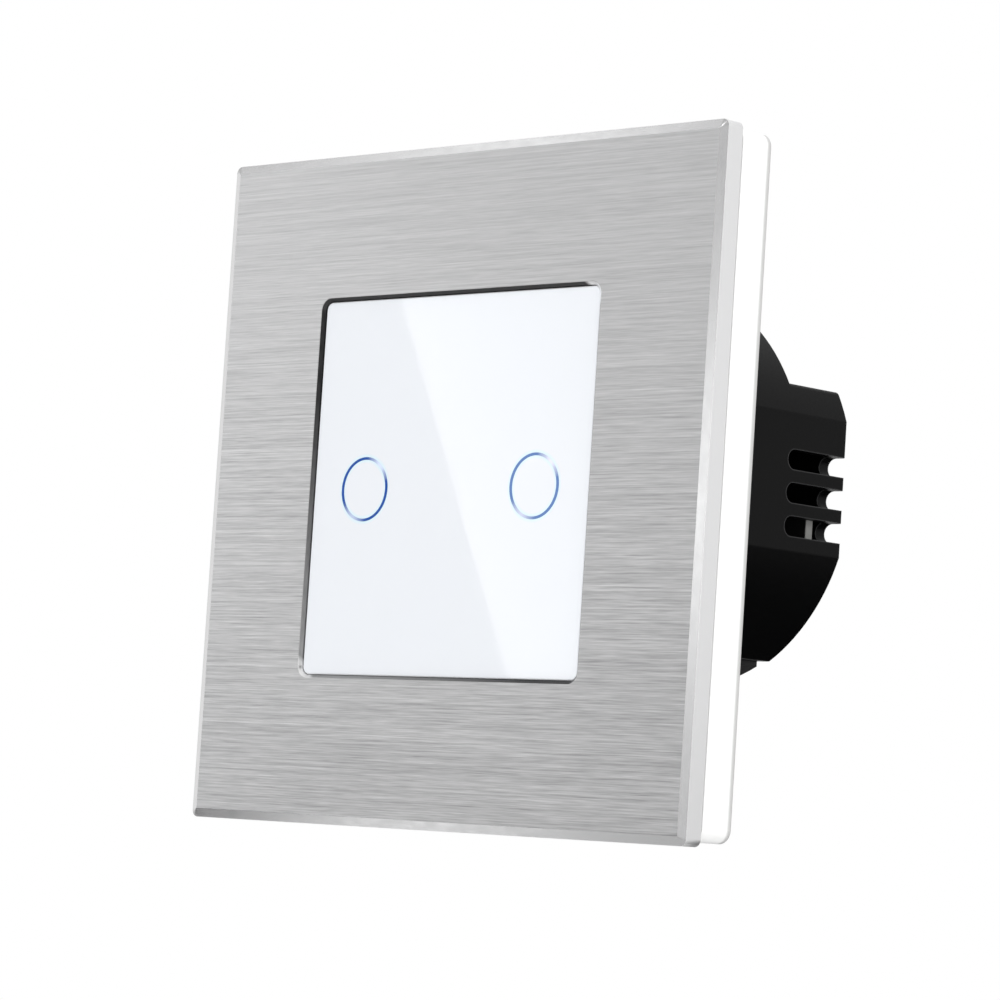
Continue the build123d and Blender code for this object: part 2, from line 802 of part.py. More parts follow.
with BuildPart() as transformer_bobbin:
    with BuildSketch(at_depth(winding_front), at_depth(winding_back + bobbin_flange)):
        with Locations((core_side, core_middle)):
            Rectangle(bobbin_width, flange_height)
        with Locations((0, axis_rise)):
            Circle(bobbin_reach, mode=Mode.INTERSECT)
    extrude(amount=bobbin_flange)
    with BuildSketch(at_depth(winding_back)):
        with Locations((core_side, core_middle)):
            Rectangle(tube_width, tube_height)
    extrude(amount=winding_back - winding_front)
    with BuildSketch(at_depth(winding_front)):
        with Locations((core_side, core_middle)):
            with GridLocations(bobbin_width - bobbin_post - 2 * bobbin_post_inset, 0, 2, 1):
                Rectangle(bobbin_post, flange_height)
        with Locations((0, axis_rise)):
            Circle(bobbin_reach, mode=Mode.INTERSECT)
    extrude(amount=winding_front - board_back)
    with BuildSketch(at_depth(winding_back + bobbin_flange)):
        with Locations((core_side, core_middle)):
            Rectangle(tube_inner_width, tube_inner_height)
    extrude(amount=winding_back - winding_front + 2 * bobbin_flange, mode=Mode.SUBTRACT)
save(transformer_bobbin, "transformer_bobbin")

with BuildPart() as transformer_winding:
    with BuildSketch(at_depth(winding_back - seat_gap)):
        with Locations((core_side, core_middle)):
            winding_width = tube_width + 2 * winding_thick
            Rectangle(winding_width, tube_height + 2 * winding_thick)
            Rectangle(tube_width + 2 * seat_gap, tube_height + 2 * seat_gap, mode=Mode.SUBTRACT)
    extrude(amount=winding_back - winding_front - 2 * seat_gap)
save(transformer_winding, "transformer_winding")


# Film capacitor: a box on the rear of the board
film_cap_length = rear_inner - film_cap_rear_gap - board_back

with BuildPart() as film_capacitor:
    with BuildSketch(at_depth(board_back + film_cap_length)):
        with Locations((-film_cap_side, axis_rise - film_cap_drop)):
            Rectangle(film_cap_width, film_cap_height)
    extrude(amount=film_cap_length)
    chamfer(film_capacitor.faces().sort_by(Axis.Y)[-1].edges(), film_cap_edge)
save(film_capacitor, "film_capacitor")


# Filter capacitor: a can on the front of the board
with BuildPart() as filter_capacitor:
    with BuildSketch(at_depth(board_setback)):
        with Locations((0, axis_rise + filter_cap_rise)):
            Circle(filter_cap_radius)
    extrude(amount=filter_cap_length)
    fillet(filter_capacitor.faces().sort_by(Axis.Y)[0].edges(), filter_cap_edge)
save(filter_capacitor, "filter_capacitor")


# Varistor: an upright disc on two wires
with BuildPart() as varistor:
    varistor_height = axis_rise - varistor_drop
    varistor_depth = board_setback - varistor_stand - varistor_radius
    with BuildSketch(Plane.XY.offset(varistor_height - varistor_thick / 2)):
        with Locations((0, varistor_depth)):
            Circle(varistor_radius)
    extrude(amount=varistor_thick)
    with BuildSketch(at_depth(board_setback)):
        with Locations((-varistor_wire_offset, varistor_height), (varistor_wire_offset, varistor_height)):
            Circle(wire_radius)
    extrude(amount=varistor_stand + varistor_radius)
save(varistor, "varistor")


# Fuse: a small tube with end caps, lying on its bent wires
with BuildPart() as fuse:
    fuse_height = axis_rise - (housing_radius - fuse_edge_distance)
    fuse_depth = board_setback - fuse_radius - 2 * wire_radius
    fuse_span = fuse_length + 2 * fuse_wire
    with BuildSketch(at_side(-fuse_length / 2)):
        with Locations((fuse_depth, fuse_height)):
            Circle(fuse_radius - fuse_cap_thick)
    extrude(amount=fuse_length)
    with BuildSketch(at_side(-fuse_length / 2), at_side(fuse_length / 2 - fuse_cap_length)):
        with Locations((fuse_depth, fuse_height)):
            Circle(fuse_radius)
    extrude(amount=fuse_cap_length)
    with BuildSketch(at_side(-fuse_span / 2)):
        with Locations((fuse_depth, fuse_height)):
            Circle(wire_radius)
    extrude(amount=fuse_span)
    with BuildSketch(at_depth(board_setback)):
        with Locations((0, fuse_height)):
            with GridLocations(fuse_span - 2 * wire_radius, 0, 2, 1):
                Circle(wire_radius)
    extrude(amount=board_setback - fuse_depth)
save(fuse, "fuse")


# A moulded part on the front of the board, with a lead at each corner
def build_moulded_part(label, length, width, height, place):
    with BuildPart() as moulded_part:
        with BuildSketch(at_depth(board_setback)):
            with Locations(place):
                Rectangle(length, width)
        extrude(amount=height)
        with BuildSketch(at_depth(board_setback)):
            with Locations(place):
                with GridLocations(length - 2 * part_lead_width, 0, 2, 1):
                    Rectangle(part_lead_width, width + 2 * part_lead_reach)
        extrude(amount=part_lead_thick)
    save(moulded_part, label)


rectifier_place = (-rectifier_side, axis_rise - rectifier_drop)
regulator_place = (regulator_side, axis_rise - regulator_drop)
build_moulded_part("rectifier", rectifier_length, rectifier_width, rectifier_height, rectifier_place)
build_moulded_part("regulator", regulator_length, regulator_width, regulator_height, regulator_place)


# Terminal: a plastic pole, a brass clamp body, a pressure plate and a slotted clamp screw
def build_terminal(name, place):
    side = place[0]
    pole_bottom = clamp_top - clamp_height - pole_wall
    pocket_height = clamp_height + 2 * seat_gap
    plate_back_face = tunnel_back - seat_gap
    screw_tip = tunnel_back

    with BuildPart() as terminal_pole:
        with BuildSketch(at_depth(pole_back)):
            with Locations((side, (pole_bottom + pole_top) / 2)):
                Rectangle(pole_width, pole_top - pole_bottom)
        extrude(amount=pole_back - board_back)
        with BuildSketch(Plane.XY.offset(pole_top)):
            with Locations((side, wire_depth)):
                Rectangle(pole_width, nose_back - nose_front)
        extrude(amount=block_top - pole_top)
        with BuildSketch(at_depth(pole_back)):
            with Locations(place):
                Rectangle(clamp_width + 2 * seat_gap, pocket_height)
        extrude(amount=pole_back - clamp_front + seat_gap, mode=Mode.SUBTRACT)
        with BuildSketch(at_depth(clamp_front)):
            with Locations(place):
                Circle(clamp_pin_radius + seat_gap)
        extrude(amount=clamp_front - board_back, mode=Mode.SUBTRACT)
        with BuildSketch(Plane.XY.offset(clamp_top)):
            with Locations((side, wire_depth)):
                Circle(wire_bore_radius)
        extrude(amount=block_top - clamp_top, mode=Mode.SUBTRACT)
    save(terminal_pole, name + "_terminal_pole")

    with BuildPart() as terminal_clamp:
        with BuildSketch(at_depth(clamp_back)):
            with Locations(place):
                Rectangle(clamp_width, clamp_height)
        extrude(amount=clamp_back - clamp_front)
        with BuildSketch(at_depth(tunnel_back)):
            with Locations(place):
                Rectangle(tunnel_width, clamp_height)
        extrude(amount=tunnel_depth, mode=Mode.SUBTRACT)
        with BuildSketch(at_depth(clamp_back)):
            with Locations(place):
                Circle(clamp_screw_radius + seat_gap)
        extrude(amount=clamp_rear_wall, mode=Mode.SUBTRACT)
        with BuildSketch(at_depth(clamp_front)):
            with Locations(place):
                Circle(clamp_pin_radius)
        extrude(amount=clamp_front - board_setback)
    save(terminal_clamp, name + "_terminal_clamp")

    with BuildPart() as pressure_plate:
        with BuildSketch(at_depth(plate_back_face)):
            with Locations(place):
                Rectangle(tunnel_width - 2 * plate_side_gap, clamp_height - 2 * plate_end_gap)
        extrude(amount=pressure_plate_thick)
    save(pressure_plate, name + "_pressure_plate")

    with BuildPart() as clamp_screw:
        with BuildSketch(at_depth(screw_tip + clamp_screw_length)):
            with Locations(place):
                Circle(clamp_screw_radius)
        extrude(amount=clamp_screw_length)
        with BuildSketch(at_depth(screw_tip + clamp_screw_length)):
            with Locations(place):
                Rectangle(2 * clamp_screw_radius, clamp_screw_slot)
        extrude(amount=clamp_screw_slot_depth, mode=Mode.SUBTRACT)
    save(clamp_screw, name + "_clamp_screw")


for pole_name, pole_place in zip(pole_names, pole_places):
    build_terminal(pole_name, pole_place)
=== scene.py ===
import bpy
import json
import math
from mathutils import Matrix, Vector

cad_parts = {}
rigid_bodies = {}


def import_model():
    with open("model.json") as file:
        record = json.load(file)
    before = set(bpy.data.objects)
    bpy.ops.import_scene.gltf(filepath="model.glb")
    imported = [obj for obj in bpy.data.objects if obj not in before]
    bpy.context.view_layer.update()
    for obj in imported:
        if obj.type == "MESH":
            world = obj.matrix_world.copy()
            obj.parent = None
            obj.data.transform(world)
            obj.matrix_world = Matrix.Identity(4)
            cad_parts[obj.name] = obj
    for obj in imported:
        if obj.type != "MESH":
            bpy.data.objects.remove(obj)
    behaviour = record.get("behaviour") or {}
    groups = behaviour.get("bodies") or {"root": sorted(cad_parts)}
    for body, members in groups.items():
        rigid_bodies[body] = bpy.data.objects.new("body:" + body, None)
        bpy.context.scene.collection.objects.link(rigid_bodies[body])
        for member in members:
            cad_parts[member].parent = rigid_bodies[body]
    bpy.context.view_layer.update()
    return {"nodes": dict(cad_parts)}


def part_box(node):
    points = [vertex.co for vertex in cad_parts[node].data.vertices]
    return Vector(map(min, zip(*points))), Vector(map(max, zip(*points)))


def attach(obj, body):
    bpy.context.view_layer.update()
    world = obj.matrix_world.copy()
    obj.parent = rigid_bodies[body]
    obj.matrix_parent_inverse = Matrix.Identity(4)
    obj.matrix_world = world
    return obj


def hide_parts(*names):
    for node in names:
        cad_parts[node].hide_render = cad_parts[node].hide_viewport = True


# touch light switch, dressed over its CAD frame
# metres, X to the right, Y into the wall, Z up, origin on the wall behind the plate's centre
for leftOver in list(bpy.data.objects):
    bpy.data.objects.remove(leftOver)
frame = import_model()
mm = 0.001
print("frame loaded:", len(frame["nodes"]), "nodes")


# camera, at the photograph's angle
cameraView = {
    "place": (0.3355, -0.34435, -0.0413),
    "looksAlong": (-0.6937, 0.7154, 0.0837),
    "roll": 3.68,
    "lens": 148.29,
    "sensor": 36,
    "clip": (0.01, 20),
}


def makeCamera(view):
    data = bpy.data.cameras.new("camera")
    data.lens = view["lens"]
    data.sensor_width = view["sensor"]
    data.clip_start, data.clip_end = view["clip"]
    camera = bpy.data.objects.new("camera", data)
    bpy.context.scene.collection.objects.link(camera)
    aim = Vector(view["looksAlong"]).to_track_quat("-Z", "Y").to_matrix().to_4x4()
    turn = Matrix.Rotation(math.radians(view["roll"]), 4, "Z")
    camera.matrix_world = Matrix.Translation(view["place"]) @ aim @ turn
    bpy.context.scene.camera = camera


makeCamera(cameraView)
print("camera set")


# helpers for shader nodes: the owner is a material or the world,
# and a value is a plain number, a vector or the output of another node
def feed(owner, value, socket):
    if isinstance(value, bpy.types.NodeSocket):
        owner.node_tree.links.new(value, socket)
    else:
        socket.default_value = value


def addNode(owner, kind, inputs=None, **settings):
    node = owner.node_tree.nodes.new(kind)
    for name, value in settings.items():
        setattr(node, name, value)
    for name, value in (inputs or {}).items():
        feed(owner, value, node.inputs[name])
    return node


def addMath(owner, operation, *values):
    step = addNode(owner, "ShaderNodeMath", dict(enumerate(values)), operation=operation)
    return step.outputs[0]


def addVector(owner, operation, *values):
    step = addNode(owner, "ShaderNodeVectorMath", dict(enumerate(values)), operation=operation)
    return step.outputs["Value" if operation in ("DOT_PRODUCT", "LENGTH") else "Vector"]


def addPlace(owner):
    return addNode(owner, "ShaderNodeTexCoord").outputs["Object"]


def addParts(owner, vector):
    return addNode(owner, "ShaderNodeSeparateXYZ", {"Vector": vector}).outputs


def addNoise(owner, stretch, detail=3.0, roughness=0.55):
    # noise whose grain is given in features per metre along X, Y and Z
    sized = addNode(owner, "ShaderNodeMapping", {"Vector": addPlace(owner), "Scale": stretch})
    noise = addNode(owner, "ShaderNodeTexNoise", {
        "Vector": sized.outputs["Vector"], "Scale": 1.0, "Detail": detail, "Roughness": roughness})
    return noise.outputs["Fac"]


def addRange(owner, source, low, high, fromLow=0.3, fromHigh=0.7):
    # most of a noise lies between 0.3 and 0.7
    spread = addNode(owner, "ShaderNodeMapRange", {
        "Value": source, "From Min": fromLow, "From Max": fromHigh, "To Min": low, "To Max": high})
    return spread.outputs["Result"]


def addBlend(owner, factor, first, second):
    ends = [end if isinstance(end, bpy.types.NodeSocket) else (*end, 1) for end in (first, second)]
    # a colour mix has its two colours at sockets 6 and 7, and its result at 2
    inputs = {"Factor": factor, 6: ends[0], 7: ends[1]}
    return addNode(owner, "ShaderNodeMix", inputs, data_type="RGBA").outputs[2]


def addProduct(owner, *masks):
    # a place is in the product only where it is in every mask
    product = masks[0]
    for mask in masks[1:]:
        product = addMath(owner, "MULTIPLY", product, mask)
    return product


def startMaterial(name, look):
    material = bpy.data.materials.new(name)
    material.use_nodes = True
    surface = material.node_tree.nodes["Principled BSDF"]
    for socket, value in look.items():
        surface.inputs[socket].default_value = value
    return material, surface


def paint(material, surface, colour, roughness=None):
    feed(material, colour, surface.inputs["Base Color"])
    if roughness is not None:
        feed(material, roughness, surface.inputs["Roughness"])


def addRelief(material, surface, height, depth, strength=1.0, edge=0.0, edgeSamples=4):
    # bump in metres, with worn round edges where edge gives their radius
    relief = addNode(material, "ShaderNodeBump", {
        "Strength": strength, "Distance": depth, "Height": height})
    if edge:
        roundingOrPaintedLight = addNode(material, "ShaderNodeBevel", {"Radius": edge}, samples=edgeSamples)
        feed(material, roundingOrPaintedLight.outputs["Normal"], relief.inputs["Normal"])
    feed(material, relief.outputs["Normal"], surface.inputs["Normal"])


# brushed face of the plate: long fine scratches along X
brushing = {
    "dark": (0.298, 0.298, 0.302), "light": (0.585, 0.585, 0.589),
    "longStreaks": (35, 300, 4500), "longDetail": 3.0,
    "shortStreaks": (220, 300, 7000), "shortDetail": 2.0,
    "fineness": 0.6, "noiseOver": (0.5, 1.5), "middle": 0.5,
    # contrast falls along this lean, from the plate's foot to its top, and a little to the right
    "lean": (0.21, 0.0, 1.0), "bite": (0.68, 0.34), "biteOver": (-5 * mm, 33 * mm),
    "roughness": (0.34, 0.42), "depth": 0.00001,
}


def brushedAluminium():
    look = brushing
    material, surface = startMaterial("brushedAluminium", {"Metallic": 1.0})
    longOnes = addNoise(material, look["longStreaks"], look["longDetail"], look["fineness"])
    shortOnes = addNoise(material, look["shortStreaks"], look["shortDetail"], look["fineness"])
    both = addMath(material, "ADD", longOnes, shortOnes)
    lean = addVector(material, "DOT_PRODUCT", addPlace(material), look["lean"])
    bite = addRange(material, lean, *look["bite"], *look["biteOver"])
    low = addMath(material, "SUBTRACT", look["middle"], bite)
    high = addMath(material, "ADD", look["middle"], bite)
    tone = addRange(material, both, low, high, *look["noiseOver"])
    paint(material, surface, addBlend(material, tone, look["dark"], look["light"]),
          addRange(material, shortOnes, *look["roughness"]))
    addRelief(material, surface, both, look["depth"])
    return material


# window edge: satin metal with faint cutter lines, its dark base painted shade at the top and left,
# painted paler towards its lower left as painted light, and with a painted glint where it turns round
# the upper right and the lower left corner
lipLook = {
    # dark is painted shade, pale is painted light, bright is a painted glint
    "dark": ((0.041, 0.041, 0.042), (0.060, 0.060, 0.061)),
    "pale": ((0.33, 0.33, 0.334), (0.405, 0.405, 0.409)),
    "bright": (0.72, 0.72, 0.724),
    "lean": (-0.9, 0.0, -1.0), "paintedLightOver": (9.8 * mm, 42.8 * mm),
    "diagonal": (0.707, 0.0, 0.707), "paintedGlintOver": (30.2 * mm, 30.7 * mm),
    "lines": (700, 4000, 700), "detail": 2.0, "roughness": (0.28, 0.36), "depth": 0.000004,
}


def windowEdge():
    look = lipLook
    material, surface = startMaterial("windowEdge", {"Metallic": 1.0})
    lines = addNoise(material, look["lines"], look["detail"])
    place = addPlace(material)
    # painted light: paler towards the lower left, with painted shade elsewhere
    lean = addVector(material, "DOT_PRODUCT", place, look["lean"])
    roundingOrPaintedLight = addRange(material, lean, 0.0, 1.0, *look["paintedLightOver"])
    # painted glint at the upper right and the lower left corner
    diagonal = addVector(material, "DOT_PRODUCT", place, look["diagonal"])
    fromMiddle = addMath(material, "ABSOLUTE", diagonal)
    corners = addRange(material, fromMiddle, 0.0, 1.0, *look["paintedGlintOver"])
    dark = addBlend(material, lines, *look["dark"])
    pale = addBlend(material, lines, *look["pale"])
    tone = addBlend(material, roundingOrPaintedLight, dark, pale)
    paint(material, surface, addBlend(material, corners, tone, look["bright"]),
          addRange(material, lines, *look["roughness"]))
    addRelief(material, surface, lines, look["depth"])
    return material


# zinc spangle on the steel yoke
yokeLook = {
    "dark": (0.50, 0.52, 0.54), "light": (0.60, 0.62, 0.64), "cells": 1100.0,
    "roughness": (0.34, 0.52), "grain": (3000, 3000, 3000), "depth": 0.000006, "edge": 0.1 * mm,
}


def galvanisedSteel():
    look = yokeLook
    material, surface = startMaterial("galvanisedSteel", {"Metallic": 1.0})
    cells = addNode(material, "ShaderNodeTexVoronoi", {
        "Vector": addPlace(material), "Scale": look["cells"], "Randomness": 1.0})
    tone = addNode(material, "ShaderNodeSeparateColor", {"Color": cells.outputs["Color"]}).outputs
    paint(material, surface, addBlend(material, tone["Red"], look["dark"], look["light"]),
          addRange(material, tone["Green"], *look["roughness"], 0.0, 1.0))
    addRelief(material, surface, addNoise(material, look["grain"]), look["depth"], edge=look["edge"])
    return material


# the other metals share one recipe: drawn, stamped or polished, with fine marks
metalLook = {"marks": (900, 900, 900), "detail": 4.0, "depth": 0.000006, "edge": 0.1 * mm}
# dark tone, light tone, roughness, and what differs from metalLook
metals = {
    "polishedBevel": (
        (0.418, 0.418, 0.421), (0.449, 0.449, 0.452), (0.16, 0.20),
        {"marks": (500, 4000, 500), "detail": 2.0, "depth": 0.0000015, "edge": 0.0}),
    "satinSide": (
        (0.697, 0.697, 0.700), (0.743, 0.743, 0.748), (0.36, 0.48),
        {"marks": (9000, 9000, 9000), "detail": 2.0, "edge": 0.0}),
    "screwSteel": ((0.58, 0.58, 0.60), (0.72, 0.72, 0.74), (0.22, 0.38), {}),
    "relayIron": ((0.48, 0.48, 0.49), (0.60, 0.60, 0.61), (0.26, 0.42), {}),
    "clampBrass": ((0.62, 0.44, 0.17), (0.76, 0.56, 0.24), (0.24, 0.40), {}),
    "tinnedPin": ((0.66, 0.65, 0.62), (0.78, 0.77, 0.74), (0.18, 0.34), {}),
    "silverContact": ((0.70, 0.69, 0.66), (0.82, 0.81, 0.78), (0.22, 0.38), {}),
    "copperPad": ((0.60, 0.28, 0.13), (0.74, 0.38, 0.20), (0.26, 0.42), {}),
}


def workedMetal(name, dark, light, roughness, other):
    look = {**metalLook, **other}
    material, surface = startMaterial(name, {"Metallic": 1.0})
    marks = addNoise(material, look["marks"], look["detail"])
    paint(material, surface, addBlend(material, marks, dark, light),
          addRange(material, marks, *roughness))
    addRelief(material, surface, marks, look["depth"], edge=look["edge"])
    return material


# moulded plastics share one recipe: faint clouding, fine spark texture and softened edges
plasticLook = {
    "clouds": (60, 60, 60), "sparks": 6000, "sparkDetail": 2.0, "spread": 0.06,
    "depth": 0.000008, "edge": 0.15 * mm,
}
# dark tone, light tone, middle roughness, and what differs from plasticLook
plastics = {
    "trayPlastic": ((0.80, 0.80, 0.79), (0.86, 0.86, 0.85), 0.42, {}),
    "foamTape": ((0.74, 0.73, 0.70), (0.82, 0.81, 0.78), 0.85, {"sparks": 2500, "depth": 0.00003}),
    "whiteFilm": ((0.88, 0.89, 0.91), (0.92, 0.93, 0.95), 0.5, {}),
    "blueLightGuide": ((0.08, 0.28, 0.66), (0.14, 0.38, 0.78), 0.2, {}),
    "greyCoverPlastic": ((0.10, 0.10, 0.105), (0.14, 0.14, 0.145), 0.45, {}),
    "terminalPlastic": ((0.17, 0.175, 0.18), (0.22, 0.225, 0.23), 0.45, {}),
    "connectorPlastic": ((0.018, 0.018, 0.018), (0.03, 0.03, 0.03), 0.38, {}),
    "chipEpoxy": ((0.02, 0.02, 0.02), (0.035, 0.035, 0.035), 0.62, {"sparks": 9000}),
    "relayPlastic": ((0.015, 0.05, 0.20), (0.02, 0.07, 0.26), 0.28, {}),
    "ferrite": ((0.035, 0.035, 0.038), (0.06, 0.06, 0.063), 0.60, {"sparks": 1800, "depth": 0.00004}),
    "filmCapacitorBox": ((0.62, 0.38, 0.04), (0.72, 0.46, 0.06), 0.32, {}),
    "capacitorSleeve": ((0.012, 0.018, 0.05), (0.02, 0.028, 0.07), 0.22, {}),
    "varistorEpoxy": ((0.01, 0.06, 0.24), (0.02, 0.09, 0.32), 0.30, {"sparks": 900, "depth": 0.00005}),
    "fuseTube": ((0.40, 0.30, 0.20), (0.50, 0.38, 0.26), 0.25, {}),
    "lampChip": ((0.80, 0.78, 0.50), (0.88, 0.86, 0.58), 0.3, {}),
    "windingTape": (
        (0.006, 0.006, 0.006), (0.011, 0.011, 0.010), 0.45, {"sparks": 2500, "depth": 0.00002}),
}


def mouldedPlastic(name, dark, light, roughness, other):
    look = {**plasticLook, **other}
    material, surface = startMaterial(name, {})
    clouds = addNoise(material, look["clouds"])
    sparks = addNoise(material, (look["sparks"],) * 3, look["sparkDetail"])
    paint(material, surface, addBlend(material, clouds, dark, light),
          addRange(material, sparks, roughness - look["spread"], roughness + look["spread"]))
    addRelief(material, surface, sparks, look["depth"], edge=look["edge"])
    return material


# white frame: its rear rim is greyed with painted shade, where it lies against the wall
frameLook = {
    "white": ((0.84, 0.84, 0.835), (0.90, 0.90, 0.895)), "rim": (0.50, 0.50, 0.495),
    "rimOver": (-0.75 * mm, -0.35 * mm), "clouds": (60, 60, 60), "sparks": (5000, 5000, 5000),
    "roughness": 0.32, "depth": 0.000004, "edge": 0.25 * mm,
}


def frameWhite():
    look = frameLook
    material, surface = startMaterial("frameWhite", {"Roughness": look["roughness"]})
    parts = addParts(material, addPlace(material))
    # painted shade: grey towards the rear rim
    rim = addRange(material, parts["Y"], 0.0, 1.0, *look["rimOver"])
    white = addBlend(material, addNoise(material, look["clouds"]), *look["white"])
    paint(material, surface, addBlend(material, rim, white, look["rim"]))
    addRelief(material, surface, addNoise(material, look["sparks"]), look["depth"], edge=look["edge"])
    return material


# housing: near black, with painted highlights on the rims round the slots and painted light on the lug
# under the rear edge
housing = {
    "black": ((0.0010, 0.0010, 0.0011), (0.0018, 0.0018, 0.0019)),
    # rim is a painted highlight colour, lug a painted light colour
    "rim": (0.05, 0.05, 0.051), "lug": (0.022, 0.022, 0.0225),
    "specular": 0.067, "roughness": (0.34, 0.46), "clouds": (60, 60, 60),
    "sparks": (4500, 4500, 4500), "sparkDetail": 2.0, "depth": 0.00001,
    "rimWidth": 0.3 * mm, "rimTurn": (0.985, 0.85), "rimSamples": 8,
    "slotMiddle": 2.45 * mm, "slotReach": 5.7 * mm, "slotFade": 0.2 * mm,
    "lugTop": -16.95 * mm, "lugFront": 28.8 * mm, "lugSide": 11.05 * mm, "lugFade": 0.05 * mm,
    "backTurn": (0.4, 0.7),
}


def housingBlack():
    look = housing
    material, surface = startMaterial(
        "blackHousingPlastic", {"Specular IOR Level": look["specular"]})
    black = addBlend(material, addNoise(material, look["clouds"]), *look["black"])
    parts = addParts(material, addPlace(material))
    # painted highlight: rims, found where the rounded normal leaves the true one, are painted paler
    roundingOrPaintedLight = addNode(
        material, "ShaderNodeBevel", {"Radius": look["rimWidth"]}, samples=look["rimSamples"])
    trueNormal = addNode(material, "ShaderNodeNewGeometry").outputs["Normal"]
    match = addVector(material, "DOT_PRODUCT", roundingOrPaintedLight.outputs["Normal"], trueNormal)
    rim = addRange(material, match, 0.0, 1.0, *look["rimTurn"])
    fromMiddle = addMath(material, "SUBTRACT", parts["Z"], look["slotMiddle"])
    fromSlots = addMath(material, "ABSOLUTE", fromMiddle)
    reach = look["slotReach"]
    nearSlots = addRange(material, fromSlots, 1.0, 0.0, reach - look["slotFade"], reach)
    paintedRimHighlight = addProduct(material, rim, nearSlots)
    # painted light on the lug: it is low, at the rear, near the middle, and its back face stays black
    top, front, side, fade = look["lugTop"], look["lugFront"], look["lugSide"], look["lugFade"]
    below = addRange(material, parts["Z"], 0.0, 1.0, top, top - fade)
    behind = addRange(material, parts["Y"], 0.0, 1.0, front - fade, front)
    across = addMath(material, "ABSOLUTE", parts["X"])
    between = addRange(material, across, 1.0, 0.0, side, side + fade)
    notBack = addRange(material, addParts(material, trueNormal)["Y"], 1.0, 0.0, *look["backTurn"])
    paintedLugLight = addProduct(material, below, behind, between, notBack)
    tone = addBlend(material, paintedLugLight, black, look["lug"])
    sparks = addNoise(material, look["sparks"], look["sparkDetail"])
    paint(material, surface, addBlend(material, paintedRimHighlight, tone, look["rim"]),
          addRange(material, sparks, *look["roughness"]))
    addRelief(material, surface, sparks, look["depth"], edge=look["rimWidth"])
    return material


# green board: solder mask over square tracks
boardLook = {
    "mask": (0.018, 0.16, 0.07), "track": (0.03, 0.24, 0.11), "tracks": 330.0,
    "trackOver": (0.40, 0.46), "roughness": 0.35, "depth": 0.00003, "edge": 0.08 * mm,
}


def circuitBoard():
    look = boardLook
    material, surface = startMaterial("circuitBoard", {"Roughness": look["roughness"]})
    tracks = addNode(
        material, "ShaderNodeTexVoronoi", {"Vector": addPlace(material), "Scale": look["tracks"]},
        feature="F1", distance="CHEBYCHEV")
    raised = addRange(material, tracks.outputs["Distance"], 0.0, 1.0, *look["trackOver"])
    paint(material, surface, addBlend(material, raised, look["mask"], look["track"]))
    addRelief(material, surface, raised, look["depth"], edge=look["edge"])
    return material


# enamelled wire of the relay coils, wound side by side
wireLook = {
    "dark": (0.30, 0.12, 0.04), "light": (0.60, 0.28, 0.12), "turns": 1200.0, "axis": "Y",
    "distortion": 0.6, "ripple": 40.0, "roughness": 0.28, "metallic": 0.7, "depth": 0.00006,
}


def relayWinding():
    look = wireLook
    material, surface = startMaterial(
        "relayWinding", {"Roughness": look["roughness"], "Metallic": look["metallic"]})
    rows = addNode(material, "ShaderNodeTexWave", {
        "Vector": addPlace(material), "Scale": look["turns"],
        "Distortion": look["distortion"], "Detail Scale": look["ripple"]},
        bands_direction=look["axis"])
    paint(material, surface, addBlend(material, rows.outputs["Fac"], look["dark"], look["light"]))
    addRelief(material, surface, rows.outputs["Fac"], look["depth"])
    return material


# black bobbin with a pale strip on the rim of its flanges
bobbinLook = {
    "black": (0.008, 0.008, 0.008), "pale": ((0.20, 0.20, 0.19), (0.28, 0.28, 0.27)),
    "rimOver": (20.95 * mm, 21.05 * mm), "clouds": (300, 300, 300), "roughness": 0.5,
    "specular": 0.2, "depth": 0.00002, "edge": 0.1 * mm,
}


def bobbinPlastic():
    look = bobbinLook
    material, surface = startMaterial(
        "bobbinPlastic", {"Roughness": look["roughness"], "Specular IOR Level": look["specular"]})
    parts = addParts(material, addPlace(material))
    rim = addRange(material, parts["X"], 0.0, 1.0, *look["rimOver"])
    clouds = addNoise(material, look["clouds"])
    pale = addBlend(material, clouds, *look["pale"])
    paint(material, surface, addBlend(material, rim, look["black"], pale))
    addRelief(material, surface, clouds, look["depth"], edge=look["edge"])
    return material


# ring lights: thin blue lines, strong at top left and bottom right, faint across the other diagonal
ringLight = {
    "radius": 3.66 * mm, "width": 0.43 * mm, "height": 0.33 * mm, "proud": 0.012 * mm,
    "gap": 0.004 * mm, "steps": 96, "smoothAngle": 60,
    "strong": {"left": (0.004, 0.060, 0.30), "right": (0.11, 0.20, 0.44)},
    "faint": {"left": (0.60, 0.68, 0.84), "right": (0.74, 0.76, 0.88)},
    # the lower left break lies a little further round, and is less faint than the upper right one
    "faintAt": 49.5, "skew": math.radians(12), "lift": 0.28, "strengthOver": (0.08, 0.60),
    "ripple": (-0.05, 0.05), "rippleGrain": (900, 900, 900),
    "glow": 0.12, "roughness": 0.12, "specular": 0.15,
}


